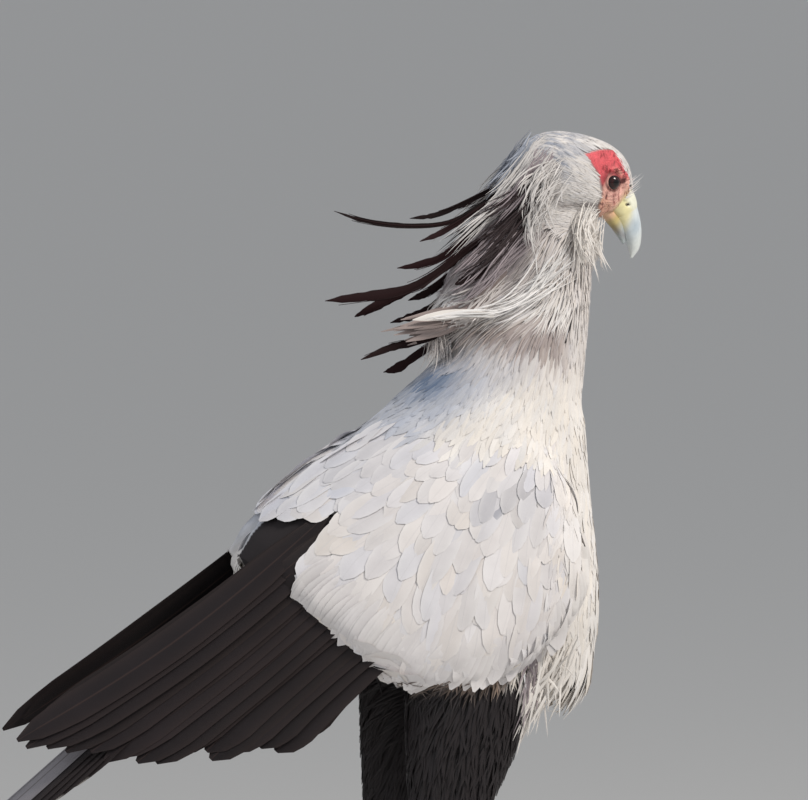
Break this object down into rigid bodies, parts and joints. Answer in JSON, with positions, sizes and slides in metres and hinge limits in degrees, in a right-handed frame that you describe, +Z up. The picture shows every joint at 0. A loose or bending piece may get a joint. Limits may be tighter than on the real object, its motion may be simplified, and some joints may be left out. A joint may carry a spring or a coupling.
{
  "type": "secretary bird model",
  "caption": "Life-size still model of a standing secretary bird with long legs, folded wings, a graduated tail with long streamers and a windblown crest.",
  "frame": {"origin": "centre of the bounding box in plan, on the floor under the feet", "axes": "+Z up, +X the way the body faces, +Y towards the bird's left side"},
  "size_m": [0.9246, 0.2302, 1.2],
  "materials": {
    "feather_grey": "matte",
    "feather_black": "matte",
    "bill_horn": "satin",
    "cere_skin": "satin",
    "eye_dark": "gloss",
    "leg_scales": "matte",
    "claw_horn": "satin"
  },
  "bodies": {
    "root": {"head": "feather_grey", "neck": "feather_grey", "trunk": "feather_grey", "mane": "feather_grey", "wing_left": "feather_grey", "wing_right": "feather_grey", "remiges_left": "feather_black", "remiges_right": "feather_black", "tail": "feather_black", "thigh_left": "feather_black", "thigh_right": "feather_black", "tarsus_left": "leg_scales", "tarsus_right": "leg_scales", "foot_left": "leg_scales", "foot_right": "leg_scales", "claw_inner_left": "claw_horn", "claw_middle_left": "claw_horn", "claw_outer_left": "claw_horn", "claw_hind_left": "claw_horn", "claw_inner_right": "claw_horn", "claw_middle_right": "claw_horn", "claw_outer_right": "claw_horn", "claw_hind_right": "claw_horn", "eye_left": "eye_dark", "eye_right": "eye_dark", "cere": "cere_skin", "bill_upper": "bill_horn", "bill_lower": "bill_horn", "crest_01": "feather_black", "crest_02": "feather_black", "crest_03": "feather_black", "crest_04": "feather_black", "crest_05": "feather_black", "crest_06": "feather_black", "crest_07": "feather_black", "crest_08": "feather_black", "crest_09": "feather_black", "crest_10": "feather_black", "crest_11": "feather_black"}
  },
  "joints": []
}
